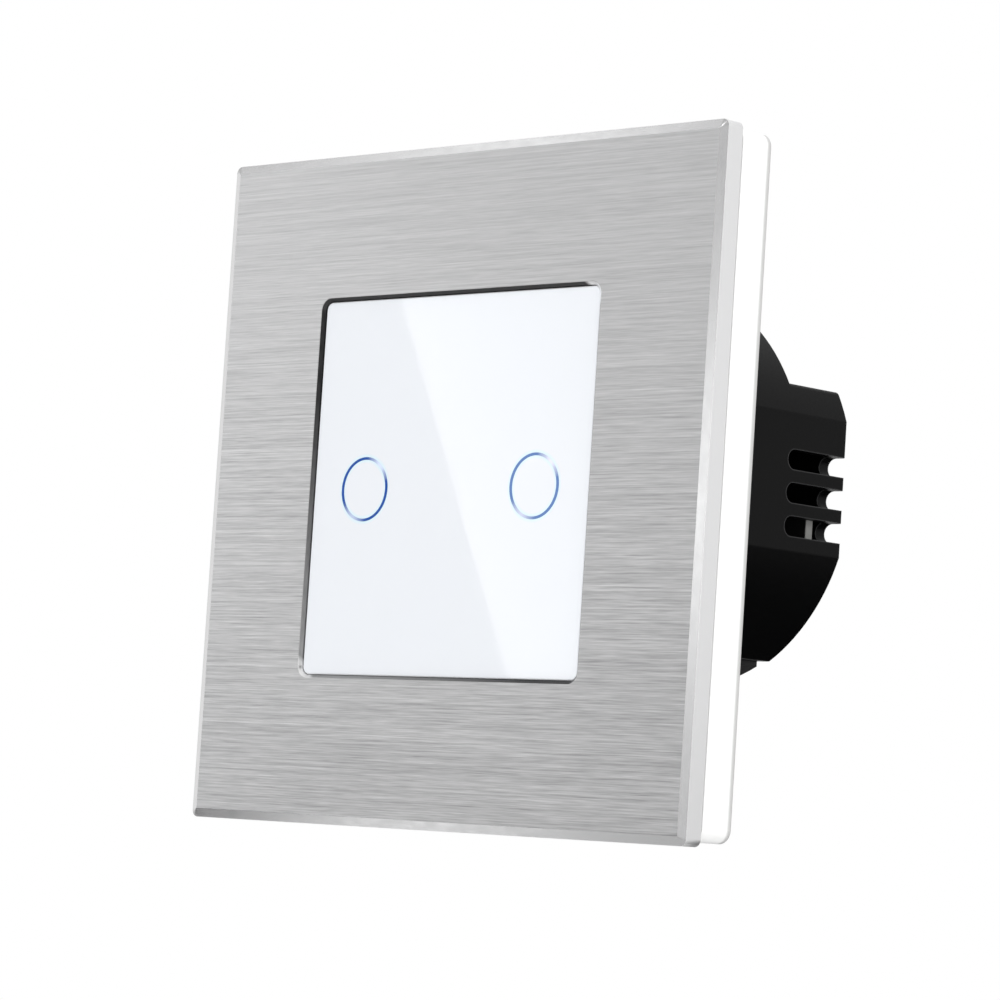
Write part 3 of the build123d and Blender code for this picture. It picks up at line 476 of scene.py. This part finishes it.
def ringBlue(side):
    look = ringLight
    material, surface = startMaterial(side + "RingBlue", {
        "Roughness": look["roughness"], "Specular IOR Level": look["specular"],
        "Emission Strength": look["glow"]})
    parts = addParts(material, addPlace(material))
    angle = addMath(material, "ARCTAN2", parts["Z"], parts["X"])
    turned = addMath(material, "SUBTRACT", angle, math.radians(look["faintAt"]))
    across = addMath(material, "COSINE", turned)
    skew = addRange(material, across, look["skew"], 0.0, -1.0, 1.0)
    wave = addMath(material, "SINE", addMath(material, "SUBTRACT", turned, skew))
    ripple = addRange(material, addNoise(material, look["rippleGrain"]), *look["ripple"])
    uneven = addMath(material, "ADD", addMath(material, "ABSOLUTE", wave), ripple)
    strength = addRange(material, uneven, 0.0, 1.0, *look["strengthOver"])
    share = addRange(material, across, 1.0 - look["lift"], 1.0, -1.0, 1.0)
    lift = addRange(material, across, look["lift"], 0.0, -1.0, 1.0)
    lifted = addMath(material, "MULTIPLY_ADD", strength, share, lift)
    colour = addBlend(material, lifted, look["faint"][side], look["strong"][side])
    paint(material, surface, colour)
    feed(material, colour, surface.inputs["Emission Color"])
    return material


# white backed glass: the white lies behind clear glass, so the face is glossy and cool
glassLook = {
    "face": ((0.880, 0.907, 0.951), (0.887, 0.913, 0.955)), "edge": (0.98, 0.99, 1.0),
    "edgeTurn": (-0.75, -0.98), "halo": (0.76, 0.93, 1.0), "haloOver": (0.2 * mm, 0.6 * mm),
    "roughness": (0.015, 0.04), "smears": (90, 90, 160), "smearDetail": 5.0,
    "smearFineness": 0.7, "smearOver": (0.45, 0.75), "clouds": (35, 35, 35), "cloudDetail": 2.0,
    "depth": 0.00002, "strength": 0.2, "refraction": 1.52, "specular": 0.5,
}


def whiteGlass():
    look = glassLook
    material, surface = startMaterial(
        "whiteGlass", {"IOR": look["refraction"], "Specular IOR Level": look["specular"]})
    clouds = addNoise(material, look["clouds"], look["cloudDetail"])
    face = addBlend(material, clouds, *look["face"])
    # both rings spread a little light in the glass: distance from the nearer one,
    # with X folded over the middle, and Z held above nought so that it doesn't fold
    low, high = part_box("right_light_ring")
    centre = (low + high) / 2
    above = 100 * mm
    held = addVector(material, "ADD", addPlace(material), (0.0, 0.0, above - centre.z))
    folded = addVector(material, "ABSOLUTE", held)
    off = addVector(material, "SUBTRACT", folded, (centre.x, 0.0, above))
    away = addVector(material, "LENGTH", addVector(material, "MULTIPLY", off, (1.0, 0.0, 1.0)))
    fromLine = addMath(material, "SUBTRACT", away, ringLight["radius"])
    eitherSide = addMath(material, "ABSOLUTE", fromLine)
    haze = addRange(material, eitherSide, 1.0, 0.0, *look["haloOver"])
    face = addBlend(material, haze, face, look["halo"])
    # painted highlight: the pane's rounded edge, where its normal turns away from the room, is painted
    # whiter
    normal = addNode(material, "ShaderNodeNewGeometry").outputs["Normal"]
    frontness = addRange(material, addParts(material, normal)["Y"], 0.0, 1.0, *look["edgeTurn"])
    smears = addNoise(material, look["smears"], look["smearDetail"], look["smearFineness"])
    paint(material, surface, addBlend(material, frontness, look["edge"], face),
          addRange(material, smears, *look["roughness"], *look["smearOver"]))
    addRelief(material, surface, clouds, look["depth"], look["strength"])
    return material


finishes = {name: mouldedPlastic(name, *look) for name, look in plastics.items()}
finishes.update({name: workedMetal(name, *look) for name, look in metals.items()})
for material in (brushedAluminium(), windowEdge(), galvanisedSteel(), frameWhite(), housingBlack(),
                 circuitBoard(), relayWinding(), bobbinPlastic(), ringBlue("left"),
                 ringBlue("right"), whiteGlass()):
    finishes[material.name] = material
print("finishes made:", len(finishes))


# carried-over CAD nodes and their finishes
nodeFinishes = {
    "front_plate": "brushedAluminium", "touch_glass": "whiteGlass",
    "plate_tape": "foamTape", "back_frame": "frameWhite",
    "light_film": "whiteFilm", "module_carrier": "trayPlastic",
    "left_light_ring": "blueLightGuide", "right_light_ring": "blueLightGuide",
    "left_touch_pad": "copperPad", "right_touch_pad": "copperPad",
    "touch_board": "circuitBoard", "indicator_leds": "lampChip", "touch_chip": "chipEpoxy",
    "pin_strip": "connectorPlastic", "header_pins": "tinnedPin",
    "mounting_yoke": "galvanisedSteel", "base_cover": "greyCoverPlastic",
    "housing_screws": "screwSteel", "rear_housing": "blackHousingPlastic",
    "power_board": "circuitBoard", "header_socket": "connectorPlastic",
    "transformer_core": "ferrite", "transformer_bobbin": "bobbinPlastic",
    "transformer_winding": "windingTape", "film_capacitor": "filmCapacitorBox",
    "filter_capacitor": "capacitorSleeve", "varistor": "varistorEpoxy", "fuse": "fuseTube",
    "rectifier": "chipEpoxy", "regulator": "chipEpoxy",
}
relayFinishes = {
    "_relay_base": "relayPlastic", "_relay_cover": "relayPlastic", "_relay_frame": "relayIron",
    "_relay_armature": "relayIron", "_relay_coil": "relayWinding", "_relay_contact": "silverContact",
}
terminalFinishes = {
    "_terminal_pole": "terminalPlastic", "_terminal_clamp": "clampBrass",
    "_pressure_plate": "screwSteel", "_clamp_screw": "screwSteel",
}
relays, terminals = ("left", "right"), ("left", "live", "right")
for places, group in ((relays, relayFinishes), (terminals, terminalFinishes)):
    for place in places:
        nodeFinishes.update({place + ending: finish for ending, finish in group.items()})
for nodeName, finish in nodeFinishes.items():
    mesh = frame["nodes"][nodeName].data
    mesh.materials.clear()
    mesh.materials.append(finishes[finish])
print("nodes finished:", len(nodeFinishes))


# helpers for meshes
def squareOutline(side, corner, steps):
    # rounded square seen from the room, as (x, z) pairs
    points = []
    for quarter, (signX, signZ) in enumerate(((1, 1), (-1, 1), (-1, -1), (1, -1))):
        for step in range(steps + 1):
            angle = math.radians(90 * (quarter + step / steps))
            x = signX * (side / 2 - corner) + corner * math.cos(angle)
            z = signZ * (side / 2 - corner) + corner * math.sin(angle)
            points.append((x, z))
    return points


def softened(profile, radius, steps=3, mostOfLine=0.45):
    # rounds every corner of a closed profile of (inset, depth, corner radius) triples
    soft = []
    count = len(profile)
    for index in range(count):
        here = Vector(profile[index])
        before = Vector(profile[index - 1]) - here
        after = Vector(profile[(index + 1) % count]) - here
        reach = min(radius, mostOfLine * before.xy.length, mostOfLine * after.xy.length)
        start = here + before * (reach / before.xy.length)
        end = here + after * (reach / after.xy.length)
        for step in range(steps + 1):
            share = step / steps
            soft.append((start.lerp(here, share)).lerp(here.lerp(end, share), share))
    return soft


def makeObject(name, points, faces, materials, chosen=None, smoothAngle=35, areaWeight=100):
    # faces meet smoothly below the angle, and large faces set the shading of their edges
    mesh = bpy.data.meshes.new(name)
    mesh.from_pydata(points, [], faces)
    for material in materials:
        mesh.materials.append(material)
    if chosen:
        for face, index in zip(mesh.polygons, chosen):
            face.material_index = index
    mesh.validate()
    mesh.shade_smooth()
    mesh.set_sharp_from_angle(angle=math.radians(smoothAngle))
    piece = bpy.data.objects.new(name, mesh)
    bpy.context.scene.collection.objects.link(piece)
    even = piece.modifiers.new("evenNormals", "WEIGHTED_NORMAL")
    even.keep_sharp = True
    even.weight = areaWeight
    return piece


def loopPiece(name, side, profile, materials, pick,
              closed=True, cornerSteps=10, sharpest=0.01 * mm):
    # a profile of (inset, depth, corner radius) triples carried round a rounded square;
    # one that isn't closed gets a flat face at both ends
    points, faces, chosen = [], [], []
    rings = len(profile)
    around = 4 * (cornerSteps + 1)
    for inset, depth, corner in profile:
        for x, z in squareOutline(side - 2 * inset, max(corner, sharpest), cornerSteps):
            points.append((x, depth, z))
    for ring in range(rings if closed else rings - 1):
        nextRing = (ring + 1) % rings
        for spot in range(around):
            nextSpot = (spot + 1) % around
            faces.append((ring * around + spot, ring * around + nextSpot,
                          nextRing * around + nextSpot, nextRing * around + spot))
            chosen.append(pick(profile[ring], profile[nextRing]))
    if not closed:
        faces.append(tuple(range(around))[::-1])
        chosen.append(pick(profile[0], profile[0]))
        faces.append(tuple((rings - 1) * around + spot for spot in range(around)))
        chosen.append(pick(profile[-1], profile[-1]))
    return makeObject(name, points, faces, materials, chosen)


# front plate: satin sides, polished bevel, brushed face and a window with a sloped edge
plate = {
    "side": 80 * mm, "corner": 0.85 * mm, "edge": 0.015 * mm, "sideBand": 10 * mm,
    "bevelWidth": 1.05 * mm, "bevelDepth": 0.35 * mm,
    "window": 44.82 * mm, "windowCorner": 1.15 * mm, "chamfer": 0.44 * mm,
    "turnOver": 0.25 * mm, "turnSteps": 4, "slope": math.radians(45), "flatWithin": 0.0125 * mm,
    "materials": ("brushedAluminium", "polishedBevel", "satinSide", "windowEdge"),
}


def makePlate():
    low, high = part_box("front_plate")
    front, back = low.y, high.y
    windowInset = (plate["side"] - plate["window"]) / 2
    chamfer, turn = plate["chamfer"], plate["turnOver"]
    profile = softened([
        (0, back, plate["corner"]),
        (0, front + plate["bevelDepth"], plate["corner"]),
        (plate["bevelWidth"], front, plate["corner"] - plate["bevelWidth"]),
        (windowInset - 2 * chamfer, front, plate["windowCorner"] + 2 * chamfer),
        (windowInset, back, plate["windowCorner"]),
    ], plate["edge"])
    # the window's front edge turns over in a small rounding, then slopes back
    outer = [spot for spot in profile if spot[0] < windowInset / 2]
    behind = [spot for spot in profile
              if spot[0] > windowInset - chamfer and spot[1] > (front + back) / 2]
    lip = []
    for step in range(plate["turnSteps"] + 1):
        angle = plate["slope"] * step / plate["turnSteps"]
        inset = windowInset - chamfer + turn * math.sin(angle)
        depth = front + turn * (1 - math.cos(angle))
        lip.append((inset, depth, plate["windowCorner"] + windowInset - inset))
    drop = (windowInset - inset) * math.tan(plate["slope"])
    lip.append((windowInset, depth + drop, plate["windowCorner"]))

    def pick(here, there):
        inset = (here[0] + there[0]) / 2
        depth = (here[1] + there[1]) / 2
        if depth < front + plate["flatWithin"] and plate["bevelWidth"] < inset < windowInset:
            name = "brushedAluminium"
        elif depth < front + plate["bevelDepth"] and inset < plate["bevelWidth"]:
            name = "polishedBevel"
        else:
            name = "satinSide" if inset < plate["sideBand"] else "windowEdge"
        return plate["materials"].index(name)

    materials = [finishes[name] for name in plate["materials"]]
    piece = loopPiece("platePiece", plate["side"], outer + lip + behind, materials, pick)
    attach(piece, "face_frame")
    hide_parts("front_plate")
    return piece


platePiece = makePlate()
print("front plate made")


# touch glass: a pane with ground and rounded edges
pane = {"corner": 1.0 * mm, "round": 0.21 * mm, "steps": 5, "backStep": 0.1 * mm}


def makePane():
    low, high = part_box("touch_glass")
    rounding, backStep = pane["round"], pane["backStep"]
    corner = pane["corner"]
    profile = [(backStep, high.y, corner - backStep), (0, high.y - backStep, corner)]
    for step in range(pane["steps"] + 1):
        angle = math.radians(90 * step / pane["steps"])
        inset = rounding * (1 - math.cos(angle))
        depth = low.y + rounding * (1 - math.sin(angle))
        profile.append((inset, depth, corner - inset))
    piece = loopPiece("touchPane", high.x - low.x, profile, [finishes["whiteGlass"]],
                      lambda here, there: 0, closed=False)
    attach(piece, "touch_module")
    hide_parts("touch_glass")
    return piece


touchPane = makePane()
print("touch pane made")


# ring lines: they lie on the glass, over the light rings of the CAD
def makeRing(side):
    low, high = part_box(side + "_light_ring")
    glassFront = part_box("touch_glass")[0].y
    centre = (low + high) / 2
    points, faces = [], []
    count = ringLight["steps"]
    # the line is a little wider at its sides than at its top and foot
    rows = ((-0.5, 0), (0, -ringLight["proud"]), (0.5, 0))
    for share, depth in rows:
        across = ringLight["radius"] + share * ringLight["width"]
        upright = ringLight["radius"] + share * ringLight["height"]
        for step in range(count):
            angle = 2 * math.pi * step / count
            points.append((across * math.cos(angle), depth, upright * math.sin(angle)))
    for row in range(len(rows) - 1):
        for step in range(count):
            after = (step + 1) % count
            faces.append((row * count + step, row * count + after,
                          (row + 1) * count + after, (row + 1) * count + step))
    piece = makeObject(side + "RingLine", points, faces, [finishes[side + "RingBlue"]],
                       smoothAngle=ringLight["smoothAngle"])
    piece.location = (centre.x, glassFront - ringLight["gap"], centre.z)
    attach(piece, "touch_module")


for side in ("left", "right"):
    makeRing(side)
print("ring lines made")


# floor and surroundings: towards its rim the floor fades into the white behind it
studio = {
    "floorDrop": 0.32, "floorHalf": 1.6, "floorTones": ((0.86, 0.86, 0.86), (0.90, 0.90, 0.90)),
    "floorGrain": (30, 30, 30), "floorRoughness": 0.9, "floorSpecular": 0.1,
    "fadeOver": (0.45, 0.98), "worldStrength": 0.62,
}


def makeFloor():
    half = studio["floorHalf"]
    height = -studio["floorDrop"]
    signs = ((-1, -1), (1, -1), (1, 1), (-1, 1))
    corners = [(signX * half, signY * half, height) for signX, signY in signs]
    material, surface = startMaterial("paleFloor", {
        "Roughness": studio["floorRoughness"], "Specular IOR Level": studio["floorSpecular"]})
    grain = addNoise(material, studio["floorGrain"])
    paint(material, surface, addBlend(material, grain, *studio["floorTones"]))
    reach = addVector(material, "LENGTH", addPlace(material))
    fade = addRange(material, reach, 0.0, 1.0, *(share * half for share in studio["fadeOver"]))
    glow = addNode(material, "ShaderNodeEmission", {"Color": (1, 1, 1, 1), "Strength": 1.0})
    both = addNode(material, "ShaderNodeMixShader", {
        "Fac": fade, 1: surface.outputs["BSDF"], 2: glow.outputs["Emission"]})
    output = material.node_tree.nodes["Material Output"]
    feed(material, both.outputs["Shader"], output.inputs["Surface"])
    floor = makeObject("floor", corners, [(0, 1, 2, 3)], [material])


def makeWorld():
    # white to the eye, in reflections and through glass, and softer as a light
    world = bpy.data.worlds.new("studio")
    world.use_nodes = True
    bpy.context.scene.world = world
    path = addNode(world, "ShaderNodeLightPath").outputs
    seen = addMath(world, "MAXIMUM", path["Is Camera Ray"], path["Is Transmission Ray"])
    mirrored = addMath(world, "MAXIMUM", seen, path["Is Glossy Ray"])
    level = addRange(world, mirrored, studio["worldStrength"], 1.0, 0.0, 1.0)
    back = world.node_tree.nodes["Background"]
    feed(world, level, back.inputs["Strength"])
    back.inputs["Color"].default_value = (1, 1, 1, 1)


def aimed(towards, distance):
    # a place at a distance from the switch, its -Z looking back at it, its Y upright
    direction = Vector(towards).normalized()
    aim = (-direction).to_track_quat("-Z", "Y").to_matrix().to_4x4()
    return Matrix.Translation(direction * distance) @ aim


def addSoftbox(name, towards, distance, size, radiance):
    # radiance 1 is as bright as a white card
    data = bpy.data.lights.new(name, "AREA")
    data.shape = "RECTANGLE"
    data.size, data.size_y = size
    data.energy = radiance * math.pi * size[0] * size[1]
    lamp = bpy.data.objects.new(name, data)
    bpy.context.scene.collection.objects.link(lamp)
    lamp.matrix_world = aimed(towards, distance)
    lamp.visible_camera = False
    return lamp


def linkLight(lamp, pieces, state):
    # a lamp that lights only these pieces, or all but these
    chosen = bpy.data.collections.new(lamp.name + "Pieces")
    for piece in pieces:
        chosen.objects.link(piece)
    lamp.light_linking.receiver_collection = chosen
    for entry in chosen.collection_objects:
        entry.light_linking.link_state = state


softboxes = {
    "leftBox": {
        "towards": (-0.75, -0.64, 0.163), "distance": 1.4, "size": (0.5, 0.45), "radiance": 1.27},
    "frontBox": {
        "towards": (-0.12, -0.985, 0.085), "distance": 1.5, "size": (0.5, 0.13), "radiance": 1.75},
    "crestBox": {
        "towards": (-0.68, -0.475, 0.56), "distance": 1.4, "size": (0.09, 0.22), "radiance": 1.8},
    "footBox": {
        "towards": (-0.6955, -0.579, -0.425), "distance": 0.65, "size": (0.056, 0.10),
        "radiance": 1.75},
    "edgeBox": {
        "towards": (-0.99, -0.09, 0.08), "distance": 1.3, "size": (0.22, 0.6), "radiance": 0.6},
    "fillBox": {
        "towards": (0.35, -0.65, 0.67), "distance": 1.4, "size": (0.8, 0.8), "radiance": 3.2},
    "rightBox": {
        "towards": (0.95, -0.22, 0.22), "distance": 1.4, "size": (0.7, 0.9), "radiance": 4.2},
    "glintBox": {
        "towards": (-0.287, -0.79, 0.54), "distance": 1.4, "size": (0.2, 0.2), "radiance": 4.0},
    "lowGlintBox": {
        "towards": (-0.274, -0.884, -0.383), "distance": 1.4, "size": (0.2, 0.2), "radiance": 4.0},
    "topBox": {
        "towards": (0.15, 0.10, 0.98), "distance": 1.2, "size": (0.8, 0.8), "radiance": 1.6},
}
# lamps that leave the glass alone, that leave the plate alone, and that light the plate only
notOnGlass = ("leftBox", "crestBox", "footBox", "edgeBox", "rightBox")
notOnPlate = ("fillBox",)
plateOnly = ("glintBox", "lowGlintBox")
# black cloths that only reflections see: behind the camera, low on the left, and under the housing
flags = {
    "cameraFlag": {"towards": (0.70, -0.71, 0.30), "distance": 0.9, "size": (0.42, 0.42)},
    "footFlag": {"towards": (-0.72, -0.59, -0.33), "distance": 0.70, "size": (0.45, 0.16)},
    "lowFlag": {"towards": (0.02, 0.085, -0.06), "distance": 0.105, "size": (0.13, 0.09)},
}
clothLook = {
    "dark": (0.002, 0.002, 0.002), "light": (0.006, 0.006, 0.006), "weave": (400, 400, 400),
}
# bright card whose straight edge shows in the glass as a slanting line, brightest along that edge
sheen = {
    "edgeTop": (-1.073, -1.046, 0.217), "edgeFoot": (-1.0277, -1.0881, 0.040),
    "beyond": 0.20, "width": 0.26, "near": 2.68, "far": 1.38, "fadeOver": 0.10,
}


def flagBlack():
    look = clothLook
    material, surface = startMaterial("flagCloth", {"Roughness": 1.0, "Specular IOR Level": 0.0})
    weave = addNoise(material, look["weave"])
    paint(material, surface, addBlend(material, weave, look["dark"], look["light"]))
    return material


def addFlag(name, towards, distance, size, material):
    wide, high = size[0] / 2, size[1] / 2
    corners = [(-wide, -high, 0), (wide, -high, 0), (wide, high, 0), (-wide, high, 0)]
    card = makeObject(name, corners, [(0, 1, 2, 3)], [material])
    card.matrix_world = aimed(towards, distance)
    card.visible_camera = False
    card.visible_diffuse = False
    card.visible_transmission = False
    card.visible_shadow = False


def sheenGlow():
    material = bpy.data.materials.new("sheenGlow")
    material.use_nodes = True
    material.node_tree.nodes.remove(material.node_tree.nodes["Principled BSDF"])
    parts = addParts(material, addPlace(material))
    level = addRange(material, parts["X"], sheen["near"], sheen["far"], 0.0, sheen["fadeOver"])
    glow = addNode(material, "ShaderNodeEmission", {"Color": (1, 1, 1, 1), "Strength": level})
    output = material.node_tree.nodes["Material Output"]
    feed(material, glow.outputs["Emission"], output.inputs["Surface"])
    return material


def makeSheen(receiver):
    top, foot = Vector(sheen["edgeTop"]), Vector(sheen["edgeFoot"])
    along = (top - foot).normalized()
    back = -((top + foot) / 2).normalized()
    side = back.cross(along).normalized()
    reach = (top - foot).length / 2 + sheen["beyond"]
    width = sheen["width"]
    corners = [(0, -reach, 0), (width, -reach, 0), (width, reach, 0), (0, reach, 0)]
    card = makeObject("sheenCard", corners, [(0, 1, 2, 3)], [sheenGlow()])
    turned = Matrix((side, along, side.cross(along))).transposed().to_4x4()
    card.matrix_world = Matrix.Translation((top + foot) / 2) @ turned
    card.visible_camera = False
    card.visible_diffuse = False
    card.visible_shadow = False
    linkLight(card, [receiver], "INCLUDE")


makeFloor()
makeWorld()
lamps = {name: addSoftbox(name, **box) for name, box in softboxes.items()}
for names, piece, state in ((notOnGlass, touchPane, "EXCLUDE"), (notOnPlate, platePiece, "EXCLUDE"),
                            (plateOnly, platePiece, "INCLUDE")):
    for name in names:
        linkLight(lamps[name], [piece], state)
makeSheen(touchPane)
cloth = flagBlack()
for name, flag in flags.items():
    addFlag(name, material=cloth, **flag)
bpy.context.scene.view_settings.view_transform = "Standard"
print("studio made")
